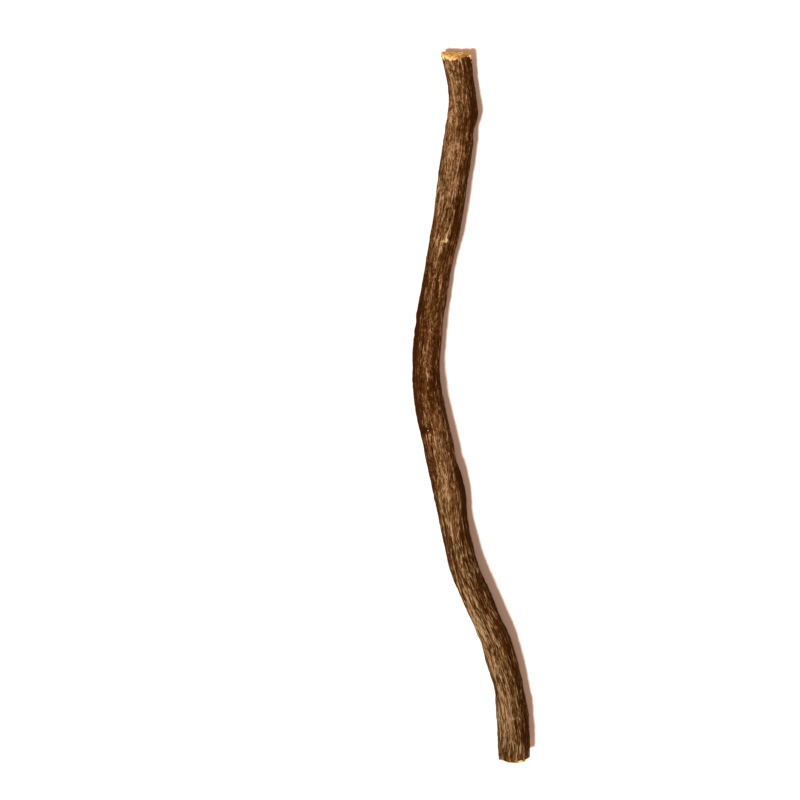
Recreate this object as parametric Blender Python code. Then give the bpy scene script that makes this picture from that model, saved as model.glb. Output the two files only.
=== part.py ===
"""One cut length of dried licorice root, resting on three low spots of its own underside.

The root lies along Y, its bends lie in the XY plane, and it rests on the plane z = 0 with +Z up.
A place on it is a distance along its axis from the +Y cut, and an angle round it: zero on the +X side,
a quarter turn on top, a half turn on the -X side, three quarters underneath. Sizes are in metres.
"""

import math

import bmesh
import bpy
import numpy as np
from mathutils import Vector, noise

MM = 0.001
TURN = 2 * math.pi
UNDERNEATH = 0.75 * TURN

NODE = "licorice_root"
COLUMNS = 56
RINGS = 80

# The axis from the +Y cut to the -Y cut: x, y, clearance under the root and thickness, in millimetres.
STATIONS = (
    (-4.25, 88.7, 0.90, 7.15),
    (-2.85, 80.1, 0.30, 6.30),
    (-2.42, 73.9, -0.03, 6.95),
    (-3.78, 63.9, 0.50, 7.10),
    (-6.05, 47.2, 1.00, 7.00),
    (-8.78, 32.9, 1.00, 6.36),
    (-11.05, 15.7, 0.90, 6.75),
    (-11.40, 5.9, 0.70, 7.15),
    (-9.60, -5.2, 0.35, 7.60),
    (-6.43, -19.2, 0.00, 7.85),
    (-4.25, -31.7, 0.35, 7.00),
    (-0.15, -44.8, 0.75, 6.95),
    (5.20, -56.4, 0.65, 6.75),
    (8.73, -68.2, 0.20, 7.05),
    (10.35, -78.7, -0.05, 7.50),
    (10.52, -87.7, 0.40, 7.52),
)

# Each cut: how far it reaches out on top and underneath, as shares of the radius, and its swing in degrees.
TOP_CUT = (-0.44, 0.0, 9.0)
LOW_CUT = (0.33, -0.36, 3.5)
CUT_ROUNDNESS = 0.75

# Chips broken off the rims: 0 for the +Y cut or 1 for the other, angle and half width in degrees, depth in mm.
RIM_CHIPS = (
    (0, 118, 22, 0.45),
    (0, 300, 38, 1.20),
    (1, 330, 35, 2.60),
    (1, 150, 14, 0.25),
)
CUT_REACH = 9 * MM
CUT_CHIPS = 0.22 * MM
RIM_DROP = 0.3 * MM
CAP_SHARES = (0.40, 0.78, 0.93)
CAP_DISH = 0.25 * MM

# Long furrows: their depth, how many noise cells lie round the root, and one cell's length along it.
FURROW_DEPTH = 0.30 * MM
FURROW_CELLS = 3.3
FURROW_LENGTH = 11 * MM
WANDER = 0.45
WANDER_LENGTH = 34 * MM
OUT_OF_ROUND = 0.035
OUT_OF_ROUND_LENGTH = 28 * MM

# Knots, scars and swellings: distance along, angle, half length, half width (all in mm and degrees), height.
MARKS = (
    (15.8, 352, 2.2, 1.6, 0.25),
    (19.8, 0, 2.3, 2.2, -0.90),
    (47.6, 81, 1.6, 1.0, 0.40),
    (47.7, 81, 0.8, 0.5, -0.70),
    (62.7, 358, 4.5, 2.2, 0.30),
    (72.2, 205, 5.0, 2.2, 0.35),
    (94.8, 133, 2.6, 1.6, 0.40),
    (94.8, 134, 0.9, 1.3, -1.00),
    (104.0, 4, 3.0, 2.0, -0.60),
    (113.2, 2, 3.8, 2.2, 0.32),
    (125.2, 250, 2.0, 1.5, 0.55),
    (125.2, 250, 0.9, 0.7, -0.80),
    (146.0, 2, 3.0, 2.2, -0.35),
    (153.8, 180, 3.6, 2.4, 0.45),
    (162.7, 182, 2.6, 2.2, -0.40),
    (176.7, 5, 2.6, 2.0, 0.20),
)

# The three low spots: distance along each, and how the underside swells and is worn flat there.
LOW_SPOTS = (15.5 * MM, 108.0 * MM, 169.5 * MM)
LOW_SPOT_SWELL = 0.22 * MM
LOW_SPOT_HALF_LENGTH = 3.2 * MM
LOW_SPOT_HALF_WIDTH = 2.2 * MM
WORN_DEPTH = 0.10 * MM

BARK_COLOUR = (0.180, 0.082, 0.030, 1.0)
WOOD_COLOUR = (0.560, 0.310, 0.085, 1.0)


def natural_spline(knots, values, places):
    """The natural cubic spline through values at knots, read at places."""
    gaps = np.diff(knots)
    slopes = np.diff(values, axis=0) / gaps[:, None]
    system = np.eye(len(knots))
    bends = np.zeros_like(values)
    for i in range(1, len(knots) - 1):
        system[i, i - 1 : i + 2] = gaps[i - 1], 2 * (gaps[i - 1] + gaps[i]), gaps[i]
        bends[i] = 3 * (slopes[i] - slopes[i - 1])
    bends = np.linalg.solve(system, bends)
    i = np.clip(np.searchsorted(knots, places) - 1, 0, len(gaps) - 1)
    step = (places - knots[i])[:, None]
    gap = gaps[i][:, None]
    start = slopes[i] - gap * (2 * bends[i] + bends[i + 1]) / 3
    curl = (bends[i + 1] - bends[i]) / (3 * gap)
    return values[i] + start * step + bends[i] * step**2 + curl * step**3


class Axis:
    """The root's bent axis, with its thickness, read by distance from the +Y cut."""

    def __init__(self, stations):
        table = np.array(stations) * MM
        x, y, clearance, thickness = table.T
        self.values = np.column_stack((x, y, clearance + thickness / 2, thickness / 2))
        steps = np.linalg.norm(np.diff(self.values[:, :2], axis=0), axis=1)
        self.knots = np.concatenate(([0.0], np.cumsum(steps)))
        self.length = self.knots[-1]

    def at(self, along):
        """The centre, the unit vectors sideways and up, and the radius at each distance along."""
        inside = np.clip(along, 0, self.length)
        here = natural_spline(self.knots, self.values, inside)
        nudge = 0.2 * MM
        ahead = natural_spline(self.knots, self.values, inside + nudge)
        tangent = (ahead - here)[:, :3]
        tangent /= np.linalg.norm(tangent, axis=1)[:, None]
        side = np.cross((0.0, 0.0, 1.0), tangent)
        side /= np.linalg.norm(side, axis=1)[:, None]
        up = np.cross(tangent, side)
        centre = here[:, :3] + tangent * (along - inside)[:, None]
        return centre, side, up, here[:, 3]


def wrapped_noise(angle, along, cells, cell_length, seed):
    """Smooth noise from -1 to 1 that closes on itself round the root."""
    return np.array([
        noise.noise(Vector((cells * math.cos(a), cells * math.sin(a), s / cell_length + seed)))
        for a, s in zip(angle, along)
    ])


def angle_between(angle, other):
    """The signed angle from other to angle, in radians, the short way round."""
    return (angle - other + math.pi) % TURN - math.pi


def swelling(angle, along, radius, place, at_angle, half_length, half_width, height):
    """A rounded bump, or a pit if height is negative, at one place on the bark."""
    across = angle_between(angle, at_angle) * radius / half_width
    return height * np.exp(-((along - place) / half_length) ** 2 - across**2)


def relief(angle, along, radius):
    """How far the bark stands out of, or lies under, a plain round root."""
    wander = WANDER * np.sin(along / WANDER_LENGTH) + 0.4 * WANDER * np.sin(2.7 * along / WANDER_LENGTH)
    turned = angle + wander
    furrows = wrapped_noise(turned, along, FURROW_CELLS, FURROW_LENGTH, seed=3.7)
    furrows += 0.5 * wrapped_noise(turned, along, 1.7 * FURROW_CELLS, 0.7 * FURROW_LENGTH, seed=9.1)
    lobes = np.cos(2 * angle + along / OUT_OF_ROUND_LENGTH) + np.cos(3 * angle - 1.6 * along / OUT_OF_ROUND_LENGTH)
    out = FURROW_DEPTH * furrows + OUT_OF_ROUND * radius * lobes
    for place in LOW_SPOTS:
        worn = swelling(
            angle, along, radius, place, UNDERNEATH, 1.6 * LOW_SPOT_HALF_LENGTH, 1.6 * LOW_SPOT_HALF_WIDTH, 1.0
        )
        out *= 1 - worn
        out += swelling(
            angle, along, radius, place, UNDERNEATH, LOW_SPOT_HALF_LENGTH, LOW_SPOT_HALF_WIDTH, LOW_SPOT_SWELL
        )
    for place, degrees, half_length, half_width, height in MARKS:
        out += swelling(
            angle, along, radius, place * MM, math.radians(degrees), half_length * MM, half_width * MM, height * MM
        )
    return out


def ring_rows(length):
    """Each ring of vertices, from one cut to the other: its share of the radius and its distance along."""
    barrel = np.linspace(RIM_DROP, length - RIM_DROP, RINGS)
    start_cap = [(share, 0.0) for share in CAP_SHARES]
    end_cap = [(share, length) for share in reversed(CAP_SHARES)]
    return start_cap + [(1.0, s) for s in barrel] + end_cap


def cut_shift(angle, share, radius, cut, end, seed):
    """How far a cut reaches out along the root at each angle: its slant, and the chips along its rim."""
    above, below, swing = cut
    height = np.sin(angle)
    slant = np.where(height > 0, above, below) * np.abs(height) ** CUT_ROUNDNESS
    slant -= math.tan(math.radians(swing)) * np.cos(angle)
    chips = CUT_CHIPS * wrapped_noise(angle, np.zeros_like(angle), 2.2, MM, seed)
    for chipped_end, degrees, half_width, depth in RIM_CHIPS:
        if chipped_end == end:
            across = np.degrees(angle_between(angle, math.radians(degrees))) / half_width
            chips -= depth * MM * np.exp(-(across**2))
    return radius * share * slant + share**2 * chips - (1 - share**2) * CAP_DISH


def ring_points(axis, share, along, angles):
    """One ring of points on the root's skin, or on one of its cuts where share is under 1."""
    places = np.full_like(angles, along)
    radius = axis.at(places)[3]
    near_start = max(0.0, 1 - along / CUT_REACH) ** 2
    near_end = max(0.0, 1 - (axis.length - along) / CUT_REACH) ** 2
    places -= near_start * cut_shift(angles, share, radius, TOP_CUT, 0, seed=1.3)
    places += near_end * cut_shift(angles, share, radius, LOW_CUT, 1, seed=5.9)
    centre, side, up, radius = axis.at(places)
    reach = (share * (radius + relief(angles, places, radius)))[:, None]
    return centre + reach * (np.cos(angles)[:, None] * side + np.sin(angles)[:, None] * up)


def rest_on_plane(points):
    """Centres the box on the origin in X and Y, and wears the low spots flat on z = 0."""
    points[:, :2] -= (points[:, :2].min(axis=0) + points[:, :2].max(axis=0)) / 2
    points[:, 2] -= points[:, 2].min() + WORN_DEPTH
    points[:, 2] = np.maximum(points[:, 2], 0.0)
    return points


def root_mesh():
    """The root's closed skin: rings of points joined by faces, with a centre point on each cut."""
    axis = Axis(STATIONS)
    rows = ring_rows(axis.length)
    angles = np.arange(COLUMNS) * TURN / COLUMNS
    rings = [ring_points(axis, share, along, angles) for share, along in rows]
    first_centre = rings[0].mean(axis=0)
    last_centre = rings[-1].mean(axis=0)
    points = rest_on_plane(np.vstack((*rings, first_centre, last_centre)))

    shape = bmesh.new()
    vertices = [shape.verts.new(p) for p in points]
    for row in range(len(rows) - 1):
        on_cut = rows[row][0] < 1 or rows[row + 1][0] < 1
        for column in range(COLUMNS):
            right = (column + 1) % COLUMNS
            corners = [(row, column), (row, right), (row + 1, right), (row + 1, column)]
            face = shape.faces.new([vertices[r * COLUMNS + c] for r, c in corners])
            face.material_index = int(on_cut)
    for centre, row in ((vertices[-2], 0), (vertices[-1], len(rows) - 1)):
        for column in range(COLUMNS):
            right = (column + 1) % COLUMNS
            face = shape.faces.new([centre, vertices[row * COLUMNS + column], vertices[row * COLUMNS + right]])
            face.material_index = 1
    bmesh.ops.recalc_face_normals(shape, faces=shape.faces)
    bmesh.ops.triangulate(shape, faces=shape.faces)
    mesh = bpy.data.meshes.new(NODE)
    shape.to_mesh(mesh)
    shape.free()
    return mesh


def material(name, colour, roughness):
    made = bpy.data.materials.new(name)
    made.use_nodes = True
    shader = made.node_tree.nodes["Principled BSDF"]
    shader.inputs["Base Color"].default_value = colour
    shader.inputs["Roughness"].default_value = roughness
    shader.inputs["Metallic"].default_value = 0.0
    return made


def main():
    for old in list(bpy.data.objects):
        bpy.data.objects.remove(old)
    mesh = root_mesh()
    mesh.materials.append(material("bark", BARK_COLOUR, 0.85))
    mesh.materials.append(material("cut_wood", WOOD_COLOUR, 0.75))
    mesh.shade_smooth()
    root = bpy.data.objects.new(NODE, mesh)
    bpy.context.scene.collection.objects.link(root)


main()
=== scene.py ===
"""The looks of one cut length of dried licorice root, on a pale surface and seen from straight above.

The root's shape repeats the formula of the plain solid that it replaces, and adds the finer relief
of its bark and cuts. A place on it is a distance along its axis from the +Y cut, and an angle round
it: zero on the +X side, a quarter turn on top, a half turn on the -X side, three quarters
underneath. Sizes are in metres.
"""

import math

import bpy
import numpy as np
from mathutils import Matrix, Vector, noise


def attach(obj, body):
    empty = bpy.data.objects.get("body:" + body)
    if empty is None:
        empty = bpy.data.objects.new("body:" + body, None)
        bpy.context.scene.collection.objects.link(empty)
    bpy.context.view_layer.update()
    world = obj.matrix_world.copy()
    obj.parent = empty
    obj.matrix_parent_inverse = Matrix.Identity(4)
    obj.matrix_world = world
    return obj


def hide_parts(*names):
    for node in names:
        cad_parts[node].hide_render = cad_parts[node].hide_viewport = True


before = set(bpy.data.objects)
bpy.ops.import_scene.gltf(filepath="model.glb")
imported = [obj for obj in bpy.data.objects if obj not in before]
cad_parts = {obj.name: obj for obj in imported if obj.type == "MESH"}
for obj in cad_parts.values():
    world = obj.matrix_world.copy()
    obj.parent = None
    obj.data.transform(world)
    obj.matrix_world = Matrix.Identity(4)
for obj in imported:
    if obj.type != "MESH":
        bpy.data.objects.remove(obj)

MM = 0.001
TURN = 2 * math.pi
UNDERNEATH = 0.75 * TURN

NODE = "licorice_root"
BODY = "root"

# The axis from the +Y cut to the -Y cut: x, y, clearance under the root and thickness, in mm.
STATIONS = (
    (-4.25, 88.7, 0.90, 7.15),
    (-2.85, 80.1, 0.30, 6.30),
    (-2.42, 73.9, -0.03, 6.95),
    (-3.78, 63.9, 0.50, 7.10),
    (-6.05, 47.2, 1.00, 7.00),
    (-8.78, 32.9, 1.00, 6.36),
    (-11.05, 15.7, 0.90, 6.75),
    (-11.40, 5.9, 0.70, 7.15),
    (-9.60, -5.2, 0.35, 7.60),
    (-6.43, -19.2, 0.00, 7.85),
    (-4.25, -31.7, 0.35, 7.00),
    (-0.15, -44.8, 0.75, 6.95),
    (5.20, -56.4, 0.65, 6.75),
    (8.73, -68.2, 0.20, 7.05),
    (10.35, -78.7, -0.05, 7.50),
    (10.52, -87.7, 0.40, 7.52),
)

# Each cut: its reach on top and underneath as shares of the radius, and its swing in degrees.
TOP_CUT = (-0.44, 0.0, 9.0)
LOW_CUT = (0.33, -0.36, 3.5)
CUT_ROUNDNESS = 0.75

# Chips broken off the rims: 0 for the +Y cut or 1 for the other, angle and half width in degrees,
# depth in mm.
RIM_CHIPS = (
    (0, 118, 22, 0.45),
    (0, 300, 38, 1.20),
    (1, 330, 35, 2.60),
    (1, 150, 14, 0.25),
)

# How far a cut's shape reaches along the bark, its small chips, its rounded rim and its hollow.
CUT_REACH = 9 * MM
CUT_CHIPS = 0.22 * MM
CHIP_CELLS = 2.2
RIM_DROP = 0.3 * MM
RIM_SHARE = 0.93
CAP_DISH = 0.25 * MM

# Long furrows: their depth, how many noise cells lie round the root, and one cell's length.
FURROW_DEPTH = 0.30 * MM
FURROW_CELLS = 3.3
FURROW_LENGTH = 11 * MM

# How far the grain sways round the root, in radians, and over what length.
WANDER = 0.45
WANDER_LENGTH = 34 * MM

# How far the root is out of round, as a share of its radius, and over what length.
OUT_OF_ROUND = 0.035
OUT_OF_ROUND_LENGTH = 28 * MM

# Knots, pits and swellings: distance along, angle in degrees, half length, half width, height,
# the rest in mm.
MARKS = (
    (15.8, 352, 2.2, 1.6, 0.25),
    (19.8, 0, 2.3, 2.2, -0.90),
    (47.6, 81, 1.6, 1.0, 0.40),
    (47.7, 81, 0.8, 0.5, -0.70),
    (62.7, 358, 4.5, 2.2, 0.30),
    (72.2, 205, 5.0, 2.2, 0.35),
    (94.8, 133, 2.6, 1.6, 0.40),
    (94.8, 134, 0.9, 1.3, -1.00),
    (104.0, 4, 3.0, 2.0, -0.60),
    (113.2, 2, 3.8, 2.2, 0.32),
    (125.2, 250, 2.0, 1.5, 0.55),
    (125.2, 250, 0.9, 0.7, -0.80),
    (146.0, 2, 3.0, 2.2, -0.35),
    (153.8, 180, 3.6, 2.4, 0.45),
    (162.7, 182, 2.6, 2.2, -0.40),
    (176.7, 5, 2.6, 2.0, 0.20),
)

# The three low spots: distance along each, and how the underside swells and is worn flat there.
LOW_SPOTS = (15.5 * MM, 108.0 * MM, 169.5 * MM)
LOW_SPOT_SWELL = 0.22 * MM
LOW_SPOT_HALF_LENGTH = 3.2 * MM
LOW_SPOT_HALF_WIDTH = 2.2 * MM
WORN_REACH = 1.6
WORN_DEPTH = 0.10 * MM

# The skin's mesh: vertices round it, rings along the bark, and rings on each cut.
COLUMNS = 176
BARK_RINGS = 520
CUT_RINGS = 16
INNER_RING = 0.05
OUTER_RING = 0.985

# The baked texture: strips of bark side by side, and a disc for each cut above them.
BAKE_STRIPS = 3
STRIP_MARGIN = 0.03
STRIP_BOTTOM = 0.01
STRIP_HEIGHT = 0.84
DISC_RADIUS = 0.06
DISC_CENTRES = ((0.20, 0.925), (0.50, 0.925))

# Thin lines of the bark, pale ridges and dark furrows: height, paleness, noise cells round the root,
# length of a cell, width in noise units, seed, strength on the +Y half and on the -Y half.
LINES = (
    (-0.15 * MM, -0.28, 4.6, 5.5 * MM, 0.15, 31.1, 1.0, 0.5),
    (0.15 * MM, 0.34, 4.0, 6.2 * MM, 0.12, 77.7, 1.0, 0.3),
    (0.08 * MM, 0.24, 7.0, 2.2 * MM, 0.18, 44.9, 1.0, 0.7),
    (0.17 * MM, 0.52, 5.0, 11.0 * MM, 0.11, 52.9, 0.1, 1.0),
    (-0.16 * MM, -0.36, 5.0, 12.0 * MM, 0.12, 66.3, 0.1, 1.0),
)

# Where the bark changes from that of the +Y half to that of the -Y half.
LOW_HALF_FROM = 100 * MM
LOW_HALF_BLEND = 30 * MM

# The thin lines come and go in patches: mean strength, swing, least strength, cells, length of a cell.
LINE_STRENGTH = 0.6
LINE_SWING = 1.5
LINE_LEAST = 0.15
LINE_PATCH_CELLS = 1.4
LINE_PATCH_LENGTH = 7 * MM

# Even roughness of the bark: height, paleness, noise cells round the root, length of a cell, seed.
GRAINS = (
    (0.035 * MM, 0.18, 8.0, 1.5 * MM, 57.3),
    (0.050 * MM, 0.18, 4.5, 1.3 * MM, 63.5),
)
MEAN_FINE_RELIEF = -0.01 * MM

# How the grain strays sideways, in radians: amount, noise cells round the root, length of a cell, seed.
WAVERS = (
    (0.10, 1.4, 8.0 * MM, 21.7),
    (0.03, 3.0, 2.5 * MM, 26.3),
)

# The bark's tone: 0 is dark and 1 is pale.
PLAIN_TONE = 0.44
FURROW_TONE = 0.28
DARKEST_TONE = -0.5
PALEST_TONE = 0.86

# Patches where the bark is paler (over 0) or darker: distance along, angle in degrees, half length,
# half width, strength. Most are the bark's own tone; the rows marked below are painted shade and
# painted light.
TONES_AND_PAINTED_SHADING = (
    (4.0, 48, 4.0, 1.0, -0.30),
    (6.0, 46, 6.0, 1.6, 0.12),
    (7.0, 110, 4.0, 1.0, -0.12),
    (8.0, 112, 6.0, 2.2, 0.10),
    (10.0, 88, 11.0, 1.3, -0.15),
    # Darker along the -X edge near the +Y cut: painted shade.
    (10.0, 166, 9.0, 1.4, -0.26),
    (11.0, 138, 8.0, 1.8, 0.18),
    (13.0, 32, 11.0, 2.0, -0.42),
    (14.0, 147, 5.0, 1.0, 0.18),
    (17.0, 4, 2.4, 1.6, -0.45),
    (18.5, 90, 4.0, 1.4, -0.12),
    (19.0, 46, 4.0, 1.6, -0.10),
    (22.0, 106, 3.5, 1.0, -0.20),
    (26.0, 92, 4.0, 1.4, 0.14),
    (31.0, 122, 12.0, 2.4, 0.20),
    (36.0, 36, 12.0, 2.2, -0.34),
    (41.0, 92, 5.0, 1.4, -0.15),
    (41.5, 60, 4.5, 0.7, -0.32),
    (41.8, 100, 2.6, 0.35, -0.35),
    # Dark spot beside the scar at 47.7 mm: painted shadow.
    (46.2, 69, 0.9, 0.7, -0.35),
    (55.5, 90, 4.0, 1.3, -0.09),
    (55.5, 146, 5.0, 1.6, -0.10),
    (61.0, 46, 12.0, 1.6, 0.18),
    (62.0, 60, 24.0, 5.0, -0.12),
    (62.0, 71, 7.0, 0.9, -0.22),
    # From 46 to 94 mm along: a painted shadow over the -X side and the top, with a painted lit band
    # between 88 and 112 degrees.
    (68.0, 88, 22.0, 1.5, 0.15),
    (72.0, 158, 24.0, 2.6, -0.24),
    (74.0, 112, 18.0, 6.0, -0.26),
    (74.0, 152, 13.0, 1.2, -0.20),
    (76.0, 112, 8.0, 1.3, 0.18),
    (84.9, 40, 3.0, 0.9, -0.38),
    (85.5, 46, 6.0, 1.8, -0.40),
    # Darker all along the +X side, away from the key light: painted shade.
    (90.0, 18, 120.0, 2.6, -0.16),
    # Darker all along the -X edge: painted shade.
    (90.0, 178, 120.0, 1.4, -0.34),
    (91.5, 148, 6.0, 1.7, -0.20),
    # Near black in the pit at 95 mm: painted shade in its hollow.
    (94.8, 136, 0.5, 1.4, -1.10),
    (94.8, 152, 0.5, 0.8, -0.60),
    (95.1, 114, 0.4, 1.2, -0.95),
    (95.5, 86, 4.0, 1.3, 0.13),
    (96.0, 150, 4.0, 1.5, -0.16),
    (97.0, 72, 4.0, 1.1, 0.16),
    (97.0, 126, 4.0, 1.0, -0.10),
    (104.0, 46, 9.0, 1.6, 0.11),
    (109.5, 14, 2.6, 1.4, -1.20),
    (110.5, 142, 5.0, 1.6, -0.14),
    (111.5, 89, 4.5, 1.1, 0.24),
    (112.0, 28, 9.0, 1.9, -0.42),
    (114.0, 160, 20.0, 1.3, -0.32),
    (115.0, 120, 6.0, 2.6, -0.05),
    (130.0, 38, 12.0, 2.2, -0.18),
    (131.0, 144, 8.0, 1.6, -0.12),
    (136.0, 45, 16.0, 2.4, -0.14),
    (150.0, 135, 14.0, 2.6, 0.12),
    (151.0, 136, 9.0, 1.8, 0.06),
    (157.0, 44, 14.0, 2.4, -0.36),
    (170.0, 142, 5.0, 1.6, 0.10),
    (171.0, 128, 9.0, 2.6, 0.16),
    (174.6, 47, 3.8, 1.9, -0.55),
    (176.0, 138, 4.0, 0.9, -0.30),
)

# Raised pale ridges: the places they run through, half width and height in mm, paleness.
RIDGES = (
    (((0.4, 78.5), (4.9, 71.5), (9.2, 84), (13, 92)), 0.20, 0.12, 0.42),
    (((11.4, 70), (13.0, 78), (16.5, 83)), 0.16, 0.10, 0.26),
    (((33.9, 80), (36.2, 83), (40.2, 92), (43.0, 88)), 0.20, 0.16, 0.55),
    (((43.0, 83), (44.8, 76), (46.0, 74)), 0.36, 0.12, 0.42),
    (((48.4, 103), (50.4, 90)), 0.18, 0.08, 0.35),
    (((162.2, 128), (167.2, 118), (172.2, 121), (179.2, 110)), 0.22, 0.12, 0.30),
    (((159.2, 104), (165.2, 98), (171.2, 103), (178.2, 96)), 0.20, 0.12, 0.30),
)

# Bare pale wood where the bark is rubbed or chipped away: distance along, angle in degrees,
# half length, half width, strength.
SCARS = (
    (2.2, 75, 1.3, 0.20, 0.75),
    (4.6, 72, 0.9, 0.14, 0.60),
    (46.6, 83, 0.80, 0.16, 0.75),
    (47.7, 80, 0.62, 0.46, 1.00),
    (48.1, 91, 0.20, 0.60, 0.75),
    (50.3, 99, 1.10, 0.16, 0.55),
    (53.6, 108, 0.40, 0.30, 0.50),
    (95.2, 113, 0.24, 0.24, 0.85),
    (96.4, 108, 0.26, 0.24, 0.80),
)

# Bare wood along the rims: 0 for the +Y cut or 1 for the other, angle and half width in degrees, and
# how far the bark stops short of the cut.
RIM_SCARS = (
    (0, 164, 24, 1.7 * MM),
    (0, 118, 32, 0.6 * MM),
    (0, 12, 18, 1.9 * MM),
    (0, 250, 60, 0.5 * MM),
    (1, 60, 44, 0.3 * MM),
    (1, 250, 50, 0.4 * MM),
)
RIM_FRAY = 0.25 * MM
FRAY_SWING = 1.6
FRAY_CELLS = 6.0
FRAY_LENGTH = 0.8 * MM

# Clefts in the face of each cut: where round it in turns, and how far out as a share of the radius.
CLEFTS = ((0.32, 0.85), (0.49, 0.55), (0.70, 0.95))
CLEFT_WIDTH = 0.13 * MM
CLEFT_DEPTH = 0.30 * MM
# How much darker the clefts are drawn: painted shade in them.
CLEFT_PAINTED_SHADE = -0.5
CLEFT_BEND = 0.24
CLEFT_BEND_LENGTH = 0.7 * MM
CLEFT_BEND_SHIFT = 9
CLEFT_FADE_IN = 8
CLEFT_FADE_OUT = 4

# Rays and broken fibres in the face of each cut, and its tone.
RAY_CELLS = 5.5
RAY_LENGTH = 2.6 * MM
RAY_HEIGHT = 0.05 * MM
RAY_TONE = 0.25
BROKEN_FIBRE = 0.30 * MM
BROKEN_FIBRE_HEIGHT = 0.07 * MM
BROKEN_FIBRE_TONE = 0.40
CUT_TONE = 0.42
SECTOR_BLEND = 0.2

# Sectors of the +Y cut that are paler (over 0) or darker: angle and half width in degrees, share of
# the radius that they start from, strength. The first is a painted highlight where the rim on top
# catches the key light.
TOP_CUT_TONES_AND_PAINTED_HIGHLIGHT = (
    (135, 42, 0.50, 0.58),
    (60, 28, 0.55, -0.10),
    (250, 80, 0.00, -0.48),
)

# Patterns of the materials: size across the grain, size along it, detail, shift.
FIBRE = (0.24 * MM, 0.90 * MM, 2.0, 0.0)
FINE_FIBRE = (0.15 * MM, 1.50 * MM, 1.0, 13.1)
SPECK = (0.32 * MM, 0.42 * MM, 2.0, 5.3)
BLOTCH = (2.20 * MM, 5.00 * MM, 3.0, 9.1)
HUE_PATCH = (1.60 * MM, 6.00 * MM, 3.0, 17.7)
GROOVE = (0.75 * MM, 13.0 * MM, 0.0, 31.7)
CREST = (0.70 * MM, 10.0 * MM, 0.0, 47.3)
CUT_FIBRE = (0.12 * MM, 0.40 * MM, 3.0, 0.0)
CUT_BLOTCH = (1.60 * MM, 4.00 * MM, 2.0, 3.9)
NOISE_ROUGHNESS = 0.55
LINE_SHARPNESS = 15.0

# How strongly the patterns show in the bark's tone; pairs are for the +Y half and for the -Y half.
FIBRE_AMOUNTS = (1.75, 2.30)
SPECK_AMOUNTS = (1.00, 0.90)
LINE_AMOUNTS = (0.90, 1.40)
BLOTCH_AMOUNT = 0.35
CREST_AMOUNT = 0.46
GROOVE_AMOUNT = 0.38
HUE_AMOUNT = 2.4
LOW_HALF_HUE = 0.35

# Bare wood shows where a mask, made ragged by specks, is over its edge.
RAGGED = 0.6
BARE_FROM = 0.35
BARE_SHARPNESS = 4.0
BARE_TONE = 0.76
WOOD_FIBRE_AMOUNT = 0.9

# Colours from dark to pale, each with its place on the ramp.
BARK_COLOURS = (
    (0.00, (0.021, 0.0060, 0.0004)),
    (0.25, (0.042, 0.0156, 0.0021)),
    (0.50, (0.073, 0.0364, 0.0128)),
    (0.75, (0.119, 0.0700, 0.0310)),
    (1.00, (0.222, 0.1500, 0.0840)),
)
REDDER = (1.10, 0.92, 0.84, 1.0)
GREENER = (0.93, 1.03, 0.96, 1.0)
RUBBED_COLOUR = (0.380, 0.270, 0.138, 1.0)
WOOD_COLOURS = (
    (0.00, (0.220, 0.085, 0.012)),
    (0.30, (0.380, 0.215, 0.035)),
    (0.60, (0.580, 0.365, 0.075)),
    (1.00, (0.860, 0.600, 0.330)),
)

# What the wood's colour is multiplied by from the middle of a cut to its rim.
CUT_RING_COLOURS = (
    (0.000, (0.92, 0.85, 0.75)),
    (0.180, (1.00, 1.00, 1.00)),
    (0.640, (1.00, 1.00, 1.00)),
    (0.730, (0.74, 0.62, 0.46)),
    (0.820, (1.00, 0.96, 0.90)),
    (0.955, (0.95, 0.85, 0.70)),
    (0.985, (0.50, 0.38, 0.26)),
)

# The photograph's framing: the width that it takes in at the root's axis, and what its middle shows.
FRAME_WIDTH = 200 * MM
AXIS_HEIGHT = 4 * MM
AIM = (-17.8 * MM, 1.45 * MM)
CAMERA_DISTANCE = 600 * MM
SENSOR = 36.0

# The key light comes from above the foot of the picture, to its left.
KEY_ELEVATION = 65.0
KEY_SWING = 50.0
KEY_STRENGTH = 5.3
KEY_SOFTNESS = 6.5
FILL_COLOUR = (1.0, 0.64, 0.47)
FILL_STRENGTH = 0.80

# The floor, wide enough to fill the picture from any side.
FLOOR_RADIUS = 4.0
FLOOR_COLOUR = (0.64, 0.60, 0.58, 1.0)


def natural_spline(knots, values, places):
    """The natural cubic spline through values at knots, read at places."""
    gaps = np.diff(knots)
    slopes = np.diff(values, axis=0) / gaps[:, None]
    system = np.eye(len(knots))
    bends = np.zeros_like(values)
    for i in range(1, len(knots) - 1):
        system[i, i - 1 : i + 2] = gaps[i - 1], 2 * (gaps[i - 1] + gaps[i]), gaps[i]
        bends[i] = 3 * (slopes[i] - slopes[i - 1])
    bends = np.linalg.solve(system, bends)
    i = np.clip(np.searchsorted(knots, places) - 1, 0, len(gaps) - 1)
    step = (places - knots[i])[:, None]
    gap = gaps[i][:, None]
    start = slopes[i] - gap * (2 * bends[i] + bends[i + 1]) / 3
    curl = (bends[i + 1] - bends[i]) / (3 * gap)
    return values[i] + start * step + bends[i] * step**2 + curl * step**3


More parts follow.
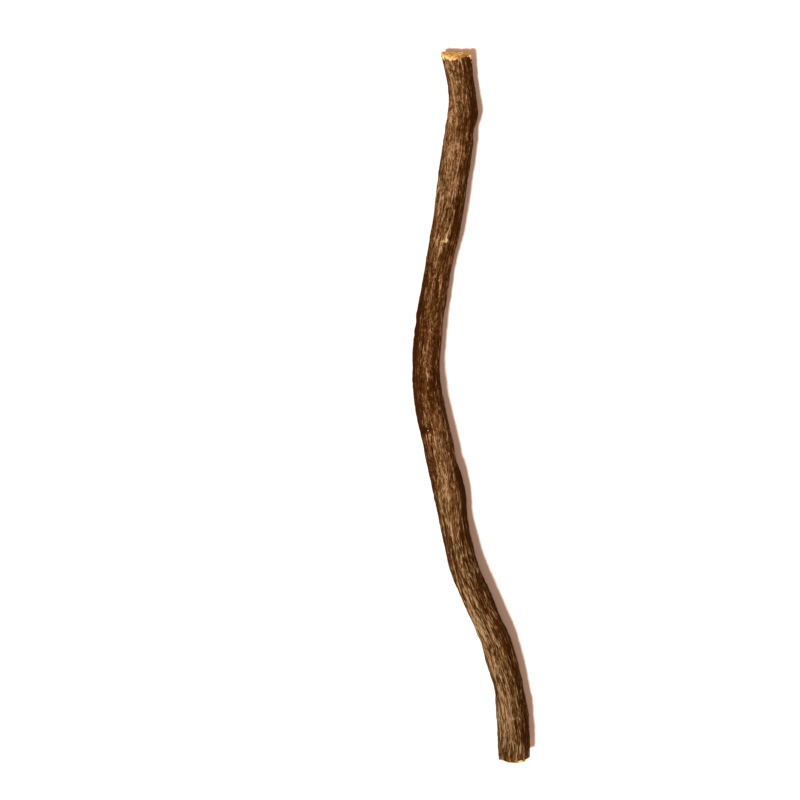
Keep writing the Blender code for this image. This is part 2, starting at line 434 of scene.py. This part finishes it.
class Axis:
    """The root's bent axis, with its thickness, read by distance from the +Y cut."""

    def __init__(self, stations):
        table = np.array(stations) * MM
        x, y, clearance, thickness = table.T
        self.values = np.column_stack((x, y, clearance + thickness / 2, thickness / 2))
        steps = np.linalg.norm(np.diff(self.values[:, :2], axis=0), axis=1)
        self.knots = np.concatenate(([0.0], np.cumsum(steps)))
        self.length = self.knots[-1]

    def at(self, along):
        """The centre, the unit vectors sideways and up, and the radius at each distance along."""
        inside = np.clip(along, 0, self.length)
        here = natural_spline(self.knots, self.values, inside)
        nudge = 0.2 * MM
        ahead = natural_spline(self.knots, self.values, inside + nudge)
        tangent = (ahead - here)[:, :3]
        tangent /= np.linalg.norm(tangent, axis=1)[:, None]
        side = np.cross((0.0, 0.0, 1.0), tangent)
        side /= np.linalg.norm(side, axis=1)[:, None]
        up = np.cross(tangent, side)
        centre = here[:, :3] + tangent * (along - inside)[:, None]
        return centre, side, up, here[:, 3]


def wrapped_noise(angle, along, cells, cell_length, seed):
    """Smooth noise from -1 to 1 that closes on itself round the root."""
    across = cells * np.cos(angle)
    upward = cells * np.sin(angle)
    forward = along / cell_length + seed
    return np.array([noise.noise(Vector(place)) for place in zip(across, upward, forward)])


def angle_between(angle, other):
    """The signed angle from other to angle, in radians, the short way round."""
    return (angle - other + math.pi) % TURN - math.pi


def swelling(angle, along, radius, place, at_angle, half_length, half_width, height):
    """A rounded bump, or a pit if height is negative, at one place on the bark."""
    across = angle_between(angle, at_angle) * radius / half_width
    return height * np.exp(-((along - place) / half_length) ** 2 - across**2)


def spots(angle, along, radius, marks):
    """The sum of the rounded spots in a table, at each place on the bark."""
    total = np.zeros_like(angle)
    for place, degrees, half_length, half_width, height in marks:
        at_angle = math.radians(degrees)
        size = (half_length * MM, half_width * MM, height)
        total += swelling(angle, along, radius, place * MM, at_angle, *size)
    return total


def grain_angle(angle, along):
    """The angle round the root, turned so that what follows it wanders as the grain does."""
    wander = WANDER * np.sin(along / WANDER_LENGTH)
    wander += 0.4 * WANDER * np.sin(2.7 * along / WANDER_LENGTH)
    return angle + wander


def long_furrows(turned, along):
    """The noise of the long furrows, wide ones and narrower ones between them."""
    furrows = wrapped_noise(turned, along, FURROW_CELLS, FURROW_LENGTH, seed=3.7)
    furrows += 0.5 * wrapped_noise(turned, along, 1.7 * FURROW_CELLS, 0.7 * FURROW_LENGTH, seed=9.1)
    return furrows


def worn_share(angle, along, radius):
    """How much of the bark's relief is worn away at each place, by the three low spots."""
    size = (WORN_REACH * LOW_SPOT_HALF_LENGTH, WORN_REACH * LOW_SPOT_HALF_WIDTH, 1.0)
    kept = np.ones_like(angle)
    for place in LOW_SPOTS:
        kept *= 1 - swelling(angle, along, radius, place, UNDERNEATH, *size)
    return 1 - kept


def main_relief(angle, along, radius, furrows):
    """How far the bark stands out of a plain round root, without its fine relief."""
    lobes = np.cos(2 * angle + along / OUT_OF_ROUND_LENGTH)
    lobes += np.cos(3 * angle - 1.6 * along / OUT_OF_ROUND_LENGTH)
    out = FURROW_DEPTH * furrows + OUT_OF_ROUND * radius * lobes
    out *= 1 - worn_share(angle, along, radius)
    size = (LOW_SPOT_HALF_LENGTH, LOW_SPOT_HALF_WIDTH, LOW_SPOT_SWELL)
    for place in LOW_SPOTS:
        out += swelling(angle, along, radius, place, UNDERNEATH, *size)
    return out + MM * spots(angle, along, radius, MARKS)


def narrow_line(values, width):
    """1 along the lines where a noise crosses zero, falling off to 0 at either side."""
    return np.exp(-((values / width) ** 2))


def ridge_mask(angle, along, radius, places, half_width):
    """1 on the line through places, each a distance along and an angle, and 0 away from it."""
    knots = np.array([place for place, _ in places]) * MM
    degrees = np.array([at_angle for _, at_angle in places])
    line = np.radians(np.interp(along, knots, degrees))
    across = angle_between(angle, line) * radius / half_width
    beyond = np.maximum(knots[0] - along, along - knots[-1]) / (2 * half_width)
    return np.exp(-(across**2) - np.maximum(beyond, 0) ** 2)


class Bark:
    """The bark's fine relief, and the masks that its colours follow, at each vertex."""

    def __init__(self, angle, along, radius):
        turned = grain_angle(angle, along)
        furrows = long_furrows(turned, along)
        self.grain = turned + sum(
            amount * wrapped_noise(angle, along, cells, cell_length, seed)
            for amount, cells, cell_length, seed in WAVERS
        )

        relief = np.zeros_like(angle)
        # The tone: the bark's own patches and furrows, with the rows of painted shade and painted light
        # from the patch table.
        shade = PLAIN_TONE + FURROW_TONE * furrows + spots(angle, along, radius, TONES_AND_PAINTED_SHADING)
        patches = wrapped_noise(angle, along, LINE_PATCH_CELLS, LINE_PATCH_LENGTH, seed=71.3)
        patchy = np.clip(LINE_STRENGTH + LINE_SWING * patches, LINE_LEAST, 1)
        self.low_half = np.clip((along - LOW_HALF_FROM) / LOW_HALF_BLEND, 0, 1)
        for height, paleness, cells, cell_length, width, seed, at_top, at_low in LINES:
            waves = wrapped_noise(self.grain, along, cells, cell_length, seed)
            line = patchy * narrow_line(waves, width)
            line *= at_top + (at_low - at_top) * self.low_half
            relief += height * line
            shade += paleness * line
        for height, paleness, cells, cell_length, seed in GRAINS:
            grain = wrapped_noise(self.grain, along, cells, cell_length, seed)
            relief += height * grain
            shade += paleness * grain
        for places, half_width, height, paleness in RIDGES:
            ridge = ridge_mask(angle, along, radius, places, half_width * MM)
            relief += height * MM * ridge
            shade += paleness * ridge

        fine = (relief - MEAN_FINE_RELIEF) * (1 - worn_share(angle, along, radius))
        self.relief = main_relief(angle, along, radius, furrows) + fine
        self.shade = np.clip(shade, DARKEST_TONE, PALEST_TONE)
        self.bare = spots(angle, along, radius, SCARS)


def rim_bareness(angle, along, length):
    """1 where the bark is chipped off at the rim of a cut, 0 where it is whole."""
    bare = np.zeros_like(angle)
    fray = 1 + FRAY_SWING * wrapped_noise(angle, along, FRAY_CELLS, FRAY_LENGTH, seed=83.9)
    for end, degrees, half_width, reach in RIM_SCARS:
        gap = length - along if end else along
        across = np.degrees(angle_between(angle, math.radians(degrees))) / half_width
        edge = reach * fray * np.exp(-(across**2))
        here = np.clip((edge - gap) / (RIM_FRAY / 2) + 0.5, 0, 1) * (edge > RIM_FRAY / 3)
        bare = np.maximum(bare, here)
    return bare


def ring_rows(length):
    """Each ring of vertices, from cut to cut: its share of the radius and its distance along."""
    shares = np.linspace(INNER_RING, OUTER_RING, CUT_RINGS)
    drops = RIM_DROP * np.clip((shares - RIM_SHARE) / (1 - RIM_SHARE), 0, 1)
    barrel = np.linspace(RIM_DROP, length - RIM_DROP, BARK_RINGS)
    start_cap = list(zip(shares, drops))
    end_cap = [(share, length - drop) for share, drop in reversed(start_cap)]
    return np.array(start_cap + [(1.0, s) for s in barrel] + end_cap)


def cut_shift(angle, share, radius, cut, end, seed):
    """How far a cut reaches out along the root at each angle: its slant, and its rim's chips."""
    above, below, swing = cut
    height = np.sin(angle)
    slant = np.where(height > 0, above, below) * np.abs(height) ** CUT_ROUNDNESS
    slant -= math.tan(math.radians(swing)) * np.cos(angle)
    chips = CUT_CHIPS * wrapped_noise(angle, np.zeros_like(angle), CHIP_CELLS, MM, seed)
    for chipped_end, degrees, half_width, depth in RIM_CHIPS:
        if chipped_end == end:
            across = np.degrees(angle_between(angle, math.radians(degrees))) / half_width
            chips -= depth * MM * np.exp(-(across**2))
    return radius * share * slant + share**2 * chips - (1 - share**2) * CAP_DISH


def cut_grain(angle, share, radius, tones_and_painted_highlight, seed):
    """The rough face of a cut: rays out from its middle, clefts along them, and broken fibres."""
    on_cut = share < 1
    across = share * radius
    rays = wrapped_noise(angle, across, RAY_CELLS, RAY_LENGTH, seed)
    x = across * np.cos(angle) / BROKEN_FIBRE
    y = across * np.sin(angle) / BROKEN_FIBRE
    fibres = np.array([noise.noise(Vector((a, b, seed))) for a, b in zip(x, y)])
    clefts = np.zeros_like(angle)
    for turn, reach in CLEFTS:
        bend = CLEFT_BEND * np.sin(across / CLEFT_BEND_LENGTH + CLEFT_BEND_SHIFT * turn)
        line = angle_between(angle, TURN * (turn + seed) + bend) * across / CLEFT_WIDTH
        fade_in = np.clip(CLEFT_FADE_IN * share, 0, 1)
        fade_out = np.clip(CLEFT_FADE_OUT * (reach - share), 0, 1)
        clefts += np.exp(-(line**2)) * fade_in * fade_out
    out = RAY_HEIGHT * rays + BROKEN_FIBRE_HEIGHT * fibres - CLEFT_DEPTH * np.clip(clefts, 0, 1)
    # The face's tone, with painted shade in the clefts.
    shade = CUT_TONE + RAY_TONE * rays + BROKEN_FIBRE_TONE * fibres + CLEFT_PAINTED_SHADE * clefts
    # Paler or darker sectors; on the +Y cut one is a painted highlight along the rim on top.
    for degrees, half_width, from_share, change in tones_and_painted_highlight:
        off_middle = np.degrees(angle_between(angle, math.radians(degrees))) / half_width
        inside = np.clip((share - from_share) / SECTOR_BLEND, 0, 1)
        shade += change * np.exp(-(off_middle**2)) * inside
    return out * on_cut, np.clip(shade, 0, 1)


def rest_on_plane(points):
    """Centres the box on the origin in X and Y, and wears the low spots flat on z = 0."""
    points[:, :2] -= (points[:, :2].min(axis=0) + points[:, :2].max(axis=0)) / 2
    points[:, 2] -= points[:, 2].min() + WORN_DEPTH
    points[:, 2] = np.maximum(points[:, 2], 0.0)
    return points


class Skin:
    """Every vertex of the root's skin, ring by ring, with the masks that its materials read."""

    def __init__(self):
        axis = Axis(STATIONS)
        rows = ring_rows(axis.length)
        self.rings = len(rows)
        self.share = np.repeat(rows[:, 0], COLUMNS)
        along = np.repeat(rows[:, 1], COLUMNS)
        angle = np.tile(UNDERNEATH + np.arange(COLUMNS) * TURN / COLUMNS, self.rings) % TURN

        radius = axis.at(along)[3]
        near_start = np.maximum(0, 1 - along / CUT_REACH) ** 2
        near_end = np.maximum(0, 1 - (axis.length - along) / CUT_REACH) ** 2
        start_out, start_shade = cut_grain(angle, self.share, radius, TOP_CUT_TONES_AND_PAINTED_HIGHLIGHT, seed=2.3)
        end_out, end_shade = cut_grain(angle, self.share, radius, (), seed=7.9)
        start_out += cut_shift(angle, self.share, radius, TOP_CUT, 0, seed=1.3)
        end_out += cut_shift(angle, self.share, radius, LOW_CUT, 1, seed=5.9)
        places = along - near_start * start_out + near_end * end_out

        centre, side, up, radius = axis.at(places)
        bark = Bark(angle, places, radius)
        reach = self.share * (radius + bark.relief)
        points = centre + reach[:, None] * (np.cos(angle)[:, None] * side + np.sin(angle)[:, None] * up)
        first = points[:COLUMNS].mean(axis=0)
        last = points[-COLUMNS:].mean(axis=0)
        self.points = rest_on_plane(np.vstack((points, first, last)))

        cut_shade = np.where(along < axis.length / 2, start_shade, end_shade)
        self.shade = np.where(self.share < 1, cut_shade, bark.shade)
        self.bare = bark.bare
        self.low_half = bark.low_half
        self.stripped = rim_bareness(angle, along, axis.length)
        straight = np.column_stack((reach * np.cos(bark.grain), reach * np.sin(bark.grain), places))
        first = straight[:COLUMNS].mean(axis=0)
        last = straight[-COLUMNS:].mean(axis=0)
        self.straight = np.vstack((straight, first, last))

    def faces(self):
        """Each face's corners, its material (0 bark, 1 cut wood) and its corners in the texture."""
        made = []
        for ring in range(self.rings - 1):
            on_cut = int(ring < CUT_RINGS - 1 or ring >= self.rings - CUT_RINGS)
            for column in range(COLUMNS):
                right = (column + 1) % COLUMNS
                here, below = ring * COLUMNS, (ring + 1) * COLUMNS
                corners = (here + column, here + right, below + right, below + column)
                steps = ((ring, column), (ring, column + 1), (ring + 1, column + 1), (ring + 1, column))
                place = self.disc_place if on_cut else self.strip_place
                made.append((corners, on_cut, [place(*step, ring) for step in steps]))
        first, last = self.rings * COLUMNS, self.rings * COLUMNS + 1
        end = self.rings - 1
        below = end * COLUMNS
        for column in range(COLUMNS):
            right = (column + 1) % COLUMNS
            at_first = [self.disc_place(0, place, 0) for place in (right, column)]
            made.append(((first, right, column), 1, [DISC_CENTRES[0], *at_first]))
            at_last = [self.disc_place(end, place, end) for place in (column, right)]
            made.append(((last, below + column, below + right), 1, [DISC_CENTRES[1], *at_last]))
        return made

    def strip_place(self, ring, column, face_ring):
        """A bark corner in the baked texture, where the bark lies in strips side by side."""
        bark_rows = self.rings - 2 * CUT_RINGS + 1
        strip_rows = math.ceil(bark_rows / BAKE_STRIPS)
        strip = (face_ring - CUT_RINGS + 1) // strip_rows
        down = (ring - CUT_RINGS + 1 - strip * strip_rows) / strip_rows
        over = STRIP_MARGIN + (1 - 2 * STRIP_MARGIN) * column / COLUMNS
        return (strip + over) / BAKE_STRIPS, STRIP_BOTTOM + STRIP_HEIGHT * down

    def disc_place(self, ring, column, face_ring):
        """A cut corner in the baked texture, where each cut lies as a disc."""
        middle = DISC_CENTRES[int(face_ring > self.rings / 2)]
        turn = column * TURN / COLUMNS
        reach = DISC_RADIUS * self.share[ring * COLUMNS]
        return middle[0] + reach * math.cos(turn), middle[1] + reach * math.sin(turn)


def add_attribute(mesh, name, kind, key, values):
    """One value, or one vector, stored at each vertex under a name."""
    layer = mesh.attributes.new(name, kind, "POINT")
    layer.data.foreach_set(key, np.ascontiguousarray(values, dtype=np.float32).ravel())


def make_root(materials):
    """The root as one closed skin, with its bark and its two cuts."""
    skin = Skin()
    faces = skin.faces()
    mesh = bpy.data.meshes.new("root_skin")
    mesh.from_pydata(skin.points.tolist(), [], [corners for corners, _, _ in faces])
    mesh.polygons.foreach_set("material_index", [index for _, index, _ in faces])
    bake_map = mesh.uv_layers.new(name="OFBake")
    texture_places = [place for _, _, places in faces for place in places]
    bake_map.uv.foreach_set("vector", np.array(texture_places, dtype=np.float32).ravel())
    at_middles = {
        "shade": (0.5, 0.5),
        "bare": (0.0, 0.0),
        "stripped": (0.0, 0.0),
        "low_half": (0.0, 1.0),
        "share": (0.0, 0.0),
    }
    for name, values in at_middles.items():
        mask = np.concatenate((getattr(skin, name), values))
        add_attribute(mesh, name, "FLOAT", "value", mask)
    add_attribute(mesh, "straight", "FLOAT_VECTOR", "vector", skin.straight)
    for material in materials:
        mesh.materials.append(material)
    mesh.shade_smooth()
    mesh.update()
    root = bpy.data.objects.new("root_skin", mesh)
    bpy.context.scene.collection.objects.link(root)
    return root


class Nodes:
    """Adds the nodes of one material, each wired to what feeds it."""

    def __init__(self, name):
        self.material = bpy.data.materials.new(name)
        self.material.use_nodes = True
        self.tree = self.material.node_tree
        self.shader = self.tree.nodes["Principled BSDF"]

    def feed(self, socket, value):
        """Wires a socket to another node's output, or sets it to a plain value."""
        if isinstance(value, bpy.types.NodeSocket):
            self.tree.links.new(value, socket)
        else:
            socket.default_value = value

    def attribute(self, name, output="Fac"):
        """What the skin stores under a name."""
        node = self.tree.nodes.new("ShaderNodeAttribute")
        node.attribute_name = name
        return node.outputs[output]

    def math(self, operation, first, second=0.0, clamp=False):
        node = self.tree.nodes.new("ShaderNodeMath")
        node.operation = operation
        node.use_clamp = clamp
        self.feed(node.inputs[0], first)
        self.feed(node.inputs[1], second)
        return node.outputs[0]

    def add_share(self, value, pattern, amount):
        """The value, moved by a pattern that lies round one half."""
        centred = self.math("SUBTRACT", pattern, 0.5)
        return self.math("ADD", value, self.math("MULTIPLY", centred, amount))

    def between(self, share, first, second):
        """The number that lies a share of the way from first to second."""
        return self.math("ADD", first, self.math("MULTIPLY", share, second - first))

    def mix(self, share, first, second, blend="MIX"):
        node = self.tree.nodes.new("ShaderNodeMix")
        node.data_type = "RGBA"
        node.blend_type = blend
        self.feed(node.inputs[0], share)
        self.feed(node.inputs[6], first)
        self.feed(node.inputs[7], second)
        return node.outputs[2]

    def noise(self, place, across, along, detail, shift):
        """Noise in straightened root space, with one size across the grain and another along it."""
        mapping = self.tree.nodes.new("ShaderNodeMapping")
        self.feed(mapping.inputs["Vector"], place)
        mapping.inputs["Scale"].default_value = (1 / across, 1 / across, 1 / along)
        mapping.inputs["Location"].default_value = (shift, shift, shift)
        node = self.tree.nodes.new("ShaderNodeTexNoise")
        self.feed(node.inputs["Vector"], mapping.outputs["Vector"])
        node.inputs["Scale"].default_value = 1.0
        node.inputs["Detail"].default_value = detail
        node.inputs["Roughness"].default_value = NOISE_ROUGHNESS
        return node.outputs["Fac"]

    def thin_lines(self, place, pattern):
        """1 along thin lines that follow the grain, falling off to 0 at either side."""
        waves = self.noise(place, *pattern)
        off_line = self.math("ABSOLUTE", self.math("SUBTRACT", waves, 0.5))
        fall = self.math("MULTIPLY", off_line, LINE_SHARPNESS)
        return self.math("SUBTRACT", 1.0, fall, clamp=True)

    def ragged_mask(self, name, pattern):
        """A mask stored on the skin, with its edge made ragged by a pattern."""
        ragged = self.add_share(self.attribute(name), pattern, RAGGED)
        over = self.math("SUBTRACT", ragged, BARE_FROM)
        return self.math("MULTIPLY", over, BARE_SHARPNESS, clamp=True)

    def ramp(self, value, stops):
        """A colour ramp through a tuple of place and colour."""
        node = self.tree.nodes.new("ShaderNodeValToRGB")
        elements = node.color_ramp.elements
        while len(elements) < len(stops):
            elements.new(0.5)
        for element, (place, colour) in zip(elements, stops):
            element.position = place
            element.color = (*colour, 1.0)
        self.feed(node.inputs["Fac"], value)
        return node.outputs["Color"]

    def bump(self, height, distance, strength):
        """Fine roughness that follows a pattern."""
        node = self.tree.nodes.new("ShaderNodeBump")
        node.inputs["Strength"].default_value = strength
        node.inputs["Distance"].default_value = distance
        self.feed(node.inputs["Height"], height)
        self.feed(self.shader.inputs["Normal"], node.outputs["Normal"])


def bark_material():
    """Dry furrowed bark: red-brown in its furrows, tan on its crests, bare wood where it is chipped."""
    nodes = Nodes("bark")
    place = nodes.attribute("straight", "Vector")
    low_half = nodes.attribute("low_half")
    fibre = nodes.noise(place, *FIBRE)
    fine_fibre = nodes.noise(place, *FINE_FIBRE)
    change = nodes.math("MULTIPLY", nodes.math("SUBTRACT", fine_fibre, fibre), low_half)
    fibre = nodes.math("ADD", fibre, change)
    speck = nodes.noise(place, *SPECK)
    blotch = nodes.noise(place, *BLOTCH)
    hue = nodes.noise(place, *HUE_PATCH)
    groove = nodes.thin_lines(place, GROOVE)
    crest = nodes.thin_lines(place, CREST)

    # The tone stored on the skin; on the bark it holds painted shade and painted light along with the
    # bark's own tone.
    value = nodes.attribute("shade")
    value = nodes.add_share(value, fibre, nodes.between(low_half, *FIBRE_AMOUNTS))
    value = nodes.add_share(value, speck, nodes.between(low_half, *SPECK_AMOUNTS))
    value = nodes.add_share(value, blotch, BLOTCH_AMOUNT)
    pale = nodes.math("MULTIPLY", crest, CREST_AMOUNT)
    dark = nodes.math("MULTIPLY", groove, GROOVE_AMOUNT)
    lines = nodes.math("SUBTRACT", pale, dark)
    lines = nodes.math("MULTIPLY", lines, nodes.between(low_half, *LINE_AMOUNTS))
    colour = nodes.ramp(nodes.math("ADD", value, lines), BARK_COLOURS)

    redder = nodes.mix(1.0, colour, REDDER, "MULTIPLY")
    greener = nodes.mix(1.0, colour, GREENER, "MULTIPLY")
    hue_share = nodes.add_share(nodes.add_share(0.5, hue, HUE_AMOUNT), low_half, LOW_HALF_HUE)
    colour = nodes.mix(hue_share, redder, greener)

    colour = nodes.mix(nodes.ragged_mask("bare", speck), colour, RUBBED_COLOUR)
    wood = nodes.ramp(nodes.add_share(BARE_TONE, fibre, WOOD_FIBRE_AMOUNT), WOOD_COLOURS)
    colour = nodes.mix(nodes.ragged_mask("stripped", speck), colour, wood)
    nodes.feed(nodes.shader.inputs["Base Color"], colour)
    nodes.shader.inputs["Roughness"].default_value = 0.9
    nodes.shader.inputs["Specular IOR Level"].default_value = 0.03
    nodes.bump(nodes.math("ADD", fibre, speck), distance=0.16 * MM, strength=0.8)
    return nodes.material


def cut_wood_material():
    """The face of a cut: straw-yellow wood in rays, a browner ring in it, and the bark's dark edge."""
    nodes = Nodes("cut_wood")
    place = nodes.attribute("straight", "Vector")
    fibre = nodes.noise(place, *CUT_FIBRE)
    blotch = nodes.noise(place, *CUT_BLOTCH)
    # The tone stored on the skin, with a painted highlight on the +Y cut and painted shade in the
    # clefts.
    value = nodes.add_share(nodes.attribute("shade"), fibre, WOOD_FIBRE_AMOUNT)
    value = nodes.add_share(value, blotch, WOOD_FIBRE_AMOUNT)
    wood = nodes.ramp(value, WOOD_COLOURS)
    ring = nodes.ramp(nodes.attribute("share"), CUT_RING_COLOURS)
    nodes.feed(nodes.shader.inputs["Base Color"], nodes.mix(1.0, wood, ring, "MULTIPLY"))
    nodes.shader.inputs["Roughness"].default_value = 0.8
    nodes.shader.inputs["Specular IOR Level"].default_value = 0.3
    nodes.bump(fibre, distance=0.10 * MM, strength=0.7)
    return nodes.material


def make_floor():
    """A wide plain pale floor, which isn't part of the object."""
    bpy.ops.mesh.primitive_circle_add(vertices=64, radius=FLOOR_RADIUS, fill_type="NGON")
    floor = bpy.context.object
    floor.name = "floor"
    nodes = Nodes("pale_floor")
    nodes.shader.inputs["Base Color"].default_value = FLOOR_COLOUR
    nodes.shader.inputs["Roughness"].default_value = 0.95
    nodes.shader.inputs["Specular IOR Level"].default_value = 0.0
    floor.data.materials.append(nodes.material)


def make_lights():
    """A soft sun for the key light, and an even warm sky for the fill."""
    elevation = math.radians(KEY_ELEVATION)
    swing = math.radians(KEY_SWING)
    towards_key = Vector((
        -math.cos(elevation) * math.cos(swing),
        -math.cos(elevation) * math.sin(swing),
        math.sin(elevation),
    ))
    sun = bpy.data.lights.new("key", "SUN")
    sun.energy = KEY_STRENGTH
    sun.angle = math.radians(KEY_SOFTNESS)
    key = bpy.data.objects.new("key", sun)
    key.rotation_mode = "QUATERNION"
    key.rotation_quaternion = towards_key.to_track_quat("Z", "Y")
    bpy.context.scene.collection.objects.link(key)

    world = bpy.data.worlds.new("fill")
    world.use_nodes = True
    background = world.node_tree.nodes["Background"]
    background.inputs["Color"].default_value = (*FILL_COLOUR, 1.0)
    background.inputs["Strength"].default_value = FILL_STRENGTH
    bpy.context.scene.world = world


def make_camera():
    """A camera straight above, which takes in the photograph's frame."""
    data = bpy.data.cameras.new("camera")
    data.sensor_width = SENSOR
    data.lens = SENSOR * CAMERA_DISTANCE / FRAME_WIDTH
    data.clip_start = 0.01
    data.clip_end = 20.0
    camera = bpy.data.objects.new("camera", data)
    camera.location = (*AIM, AXIS_HEIGHT + CAMERA_DISTANCE)
    bpy.context.scene.collection.objects.link(camera)
    bpy.context.scene.camera = camera


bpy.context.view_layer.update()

root = make_root((bark_material(), cut_wood_material()))
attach(root, BODY)
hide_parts(NODE)

make_floor()
make_lights()
make_camera()
bpy.context.scene.view_settings.view_transform = "Standard"
